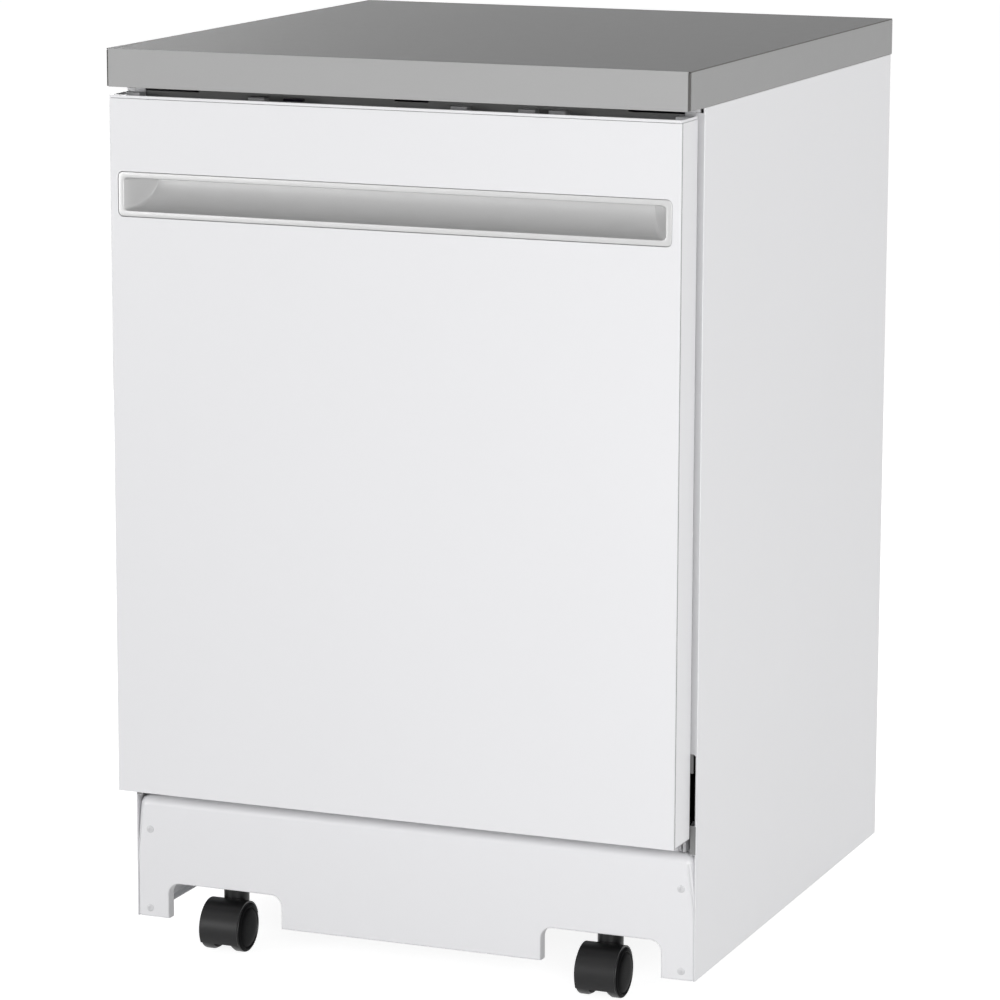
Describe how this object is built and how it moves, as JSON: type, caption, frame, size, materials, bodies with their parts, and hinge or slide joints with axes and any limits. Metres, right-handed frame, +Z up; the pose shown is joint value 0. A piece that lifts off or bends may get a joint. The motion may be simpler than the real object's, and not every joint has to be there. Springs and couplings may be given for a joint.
{
  "type": "portable dishwasher",
  "caption": "Free-standing white front-loading dishwasher on swivel casters, with a grey laminate worktop and a full-width pocket handle.",
  "frame": {"origin": "on the floor, under the middle of the object's box", "axes": "+Z up, -Y towards the user at the door, +X to the user's right"},
  "size_m": [0.614, 0.66, 0.933],
  "materials": {
    "white_enamel": "satin enamel",
    "grey_laminate": "laminate on particle board, fine matt grain",
    "grey_edge": "laminate edge band, satin",
    "handle_grey": "satin silver-grey moulding",
    "dark_plastic": "fine spark-eroded texture",
    "tub_plastic": "moulded, light sheen",
    "black_plastic": "moulded nylon",
    "white_plastic": "moulded",
    "window": "gloss tinted",
    "rubber": "matt extruded",
    "coated_wire": "vinyl-coated wire",
    "zinc_steel": "zinc-plated pressed steel",
    "stainless": "brushed"
  },
  "bodies": {
    "root": {"worktop": "grey_laminate", "worktop_edge_band": "grey_edge", "side_panel_left": "white_enamel", "side_panel_right": "white_enamel", "rear_panel": "zinc_steel", "cord_and_hose_outlet": "black_plastic", "toe_panel": "white_enamel", "base_frame": "zinc_steel", "tub": "tub_plastic", "tub_gasket": "rubber", "latch_strike": "stainless", "rack_rail_left": "stainless", "rack_rail_right": "stainless", "sump": "black_plastic", "filter_plate": "stainless", "heater_element": "stainless", "water_conduit": "tub_plastic", "circulation_pump": "black_plastic", "drain_pump": "white_plastic", "inlet_valve": "white_plastic", "hinge_bracket_left": "zinc_steel", "door_spring_left": "stainless", "hinge_bracket_right": "zinc_steel", "door_spring_right": "stainless"},
    "door": {"door_outer_panel": "white_enamel", "pocket_handle": "handle_grey", "door_inner_panel": "tub_plastic", "control_panel": "dark_plastic", "door_latch": "black_plastic", "dispenser_body": "tub_plastic", "display_window": "window", "hinge_arm_left": "zinc_steel", "hinge_arm_right": "zinc_steel"},
    "upper_rack": {"upper_rack": "coated_wire", "upper_feed_pipe": "tub_plastic"},
    "lower_rack": {"lower_rack": "coated_wire"},
    "silverware_basket": {"silverware_basket": "tub_plastic"},
    "middle_spray_arm": {"middle_spray_arm": "tub_plastic"},
    "lower_spray_arm": {"lower_spray_arm": "tub_plastic"},
    "top_spray_arm": {"top_spray_arm": "tub_plastic"},
    "filter_cylinder": {"filter_cylinder": "white_plastic"},
    "overfill_float": {"overfill_float": "white_plastic"},
    "dispenser_lid": {"dispenser_lid": "tub_plastic"},
    "rinse_aid_cap": {"rinse_aid_cap": "black_plastic"},
    "button_1": {"button_1": "dark_plastic"},
    "button_2": {"button_2": "dark_plastic"},
    "button_3": {"button_3": "dark_plastic"},
    "button_4": {"button_4": "dark_plastic"},
    "rack_wheel_front_left": {"rack_wheel_front_left": "white_plastic"},
    "caster_hood_front_left": {"caster_hood_front_left": "black_plastic"},
    "caster_wheels_front_left": {"caster_wheels_front_left": "black_plastic"},
    "rack_wheel_front_right": {"rack_wheel_front_right": "white_plastic"},
    "caster_hood_front_right": {"caster_hood_front_right": "black_plastic"},
    "caster_wheels_front_right": {"caster_wheels_front_right": "black_plastic"},
    "rack_wheel_rear_left": {"rack_wheel_rear_left": "white_plastic"},
    "caster_hood_rear_left": {"caster_hood_rear_left": "black_plastic"},
    "caster_wheels_rear_left": {"caster_wheels_rear_left": "black_plastic"},
    "rack_wheel_rear_right": {"rack_wheel_rear_right": "white_plastic"},
    "caster_hood_rear_right": {"caster_hood_rear_right": "black_plastic"},
    "caster_wheels_rear_right": {"caster_wheels_rear_right": "black_plastic"}
  },
  "joints": [
    {"name": "door_hinge", "type": "hinge", "parent": "root", "child": "door", "pos_m": [0, -0.2722, 0.167], "axis": [1, 0, 0], "range_deg": [0, 90], "deforming": ["door_spring_left", "door_spring_right"]},
    {"name": "upper_rack_slide", "type": "slide", "parent": "root", "child": "upper_rack", "axis": [0, -1, 0], "range_m": [0, 0.381]},
    {"name": "lower_rack_slide", "type": "slide", "parent": "root", "child": "lower_rack", "axis": [0, -1, 0], "range_m": [0, 0.171]},
    {"name": "basket_lift", "type": "slide", "parent": "lower_rack", "child": "silverware_basket", "axis": [0, 0, 1], "range_m": [0, 0.12]},
    {"name": "middle_spray_arm_spin", "type": "hinge", "parent": "upper_rack", "child": "middle_spray_arm", "pos_m": [0, 0.02, 0.55], "axis": [0, 0, 1], "continuous": true},
    {"name": "lower_spray_arm_spin", "type": "hinge", "parent": "root", "child": "lower_spray_arm", "pos_m": [0, 0.02, 0.226], "axis": [0, 0, 1], "continuous": true},
    {"name": "top_spray_arm_spin", "type": "hinge", "parent": "root", "child": "top_spray_arm", "pos_m": [0, 0.02, 0.83], "axis": [0, 0, 1], "continuous": true},
    {"name": "filter_twist", "type": "hinge", "parent": "root", "child": "filter_cylinder", "pos_m": [0.075, 0.02, 0.2], "axis": [0, 0, 1], "range_deg": [0, 90]},
    {"name": "float_lift", "type": "slide", "parent": "root", "child": "overfill_float", "axis": [0, 0, 1], "range_m": [0, 0.01]},
    {"name": "dispenser_lid_slide", "type": "slide", "parent": "door", "child": "dispenser_lid", "axis": [1, 0, 0], "range_m": [0, 0.066]},
    {"name": "rinse_aid_cap_twist", "type": "hinge", "parent": "door", "child": "rinse_aid_cap", "pos_m": [0.05, -0.2453, 0.586], "axis": [0, 1, 0], "range_deg": [0, 90]},
    {"name": "button_1_press", "type": "slide", "parent": "door", "child": "button_1", "axis": [0, 0, -1], "range_m": [0, 0.001], "stiffness_N_per_m": 400, "springref_m": -0.002},
    {"name": "button_2_press", "type": "slide", "parent": "door", "child": "button_2", "axis": [0, 0, -1], "range_m": [0, 0.001], "stiffness_N_per_m": 400, "springref_m": -0.002},
    {"name": "button_3_press", "type": "slide", "parent": "door", "child": "button_3", "axis": [0, 0, -1], "range_m": [0, 0.001], "stiffness_N_per_m": 400, "springref_m": -0.002},
    {"name": "button_4_press", "type": "slide", "parent": "door", "child": "button_4", "axis": [0, 0, -1], "range_m": [0, 0.001], "stiffness_N_per_m": 400, "springref_m": -0.002},
    {"name": "rack_wheel_front_left_roll", "type": "hinge", "parent": "lower_rack", "child": "rack_wheel_front_left", "pos_m": [-0.2528, -0.07, 0.2543], "axis": [1, 0, 0], "range_deg": [0, 550]},
    {"name": "rack_wheel_front_right_roll", "type": "hinge", "parent": "lower_rack", "child": "rack_wheel_front_right", "pos_m": [0.2528, -0.07, 0.2543], "axis": [1, 0, 0], "range_deg": [0, 550]},
    {"name": "rack_wheel_rear_left_roll", "type": "hinge", "parent": "lower_rack", "child": "rack_wheel_rear_left", "pos_m": [-0.2528, 0.205, 0.2543], "axis": [1, 0, 0], "range_deg": [0, 550]},
    {"name": "rack_wheel_rear_right_roll", "type": "hinge", "parent": "lower_rack", "child": "rack_wheel_rear_right", "pos_m": [0.2528, 0.205, 0.2543], "axis": [1, 0, 0], "range_deg": [0, 550]},
    {"name": "caster_front_left_swivel", "type": "hinge", "parent": "root", "child": "caster_hood_front_left", "pos_m": [-0.207, -0.2492, 0.066], "axis": [0, 0, 1], "continuous": true},
    {"name": "caster_front_left_roll", "type": "hinge", "parent": "caster_hood_front_left", "child": "caster_wheels_front_left", "pos_m": [-0.207, -0.2687, 0.0254], "axis": [1, 0, 0], "continuous": true},
    {"name": "caster_front_right_swivel", "type": "hinge", "parent": "root", "child": "caster_hood_front_right", "pos_m": [0.207, -0.2492, 0.066], "axis": [0, 0, 1], "continuous": true},
    {"name": "caster_front_right_roll", "type": "hinge", "parent": "caster_hood_front_right", "child": "caster_wheels_front_right", "pos_m": [0.207, -0.2687, 0.0254], "axis": [1, 0, 0], "continuous": true},
    {"name": "caster_rear_left_swivel", "type": "hinge", "parent": "root", "child": "caster_hood_rear_left", "pos_m": [-0.207, 0.2492, 0.066], "axis": [0, 0, 1], "continuous": true},
    {"name": "caster_rear_left_roll", "type": "hinge", "parent": "caster_hood_rear_left", "child": "caster_wheels_rear_left", "pos_m": [-0.207, 0.2297, 0.0254], "axis": [1, 0, 0], "continuous": true},
    {"name": "caster_rear_right_swivel", "type": "hinge", "parent": "root", "child": "caster_hood_rear_right", "pos_m": [0.207, 0.2492, 0.066], "axis": [0, 0, 1], "continuous": true},
    {"name": "caster_rear_right_roll", "type": "hinge", "parent": "caster_hood_rear_right", "child": "caster_wheels_rear_right", "pos_m": [0.207, 0.2297, 0.0254], "axis": [1, 0, 0], "continuous": true}
  ],
  "couplings": [
    {"joint": "upper_rack_slide", "follows": "door_hinge", "m_per_rad": 0.24192},
    {"joint": "lower_rack_slide", "follows": "door_hinge", "m_per_rad": 0.10823},
    {"joint": "rack_wheel_front_left_roll", "follows": "door_hinge", "ratio": 6.0128},
    {"joint": "rack_wheel_front_right_roll", "follows": "door_hinge", "ratio": 6.0128},
    {"joint": "rack_wheel_rear_left_roll", "follows": "door_hinge", "ratio": 6.0128},
    {"joint": "rack_wheel_rear_right_roll", "follows": "door_hinge", "ratio": 6.0128}
  ]
}
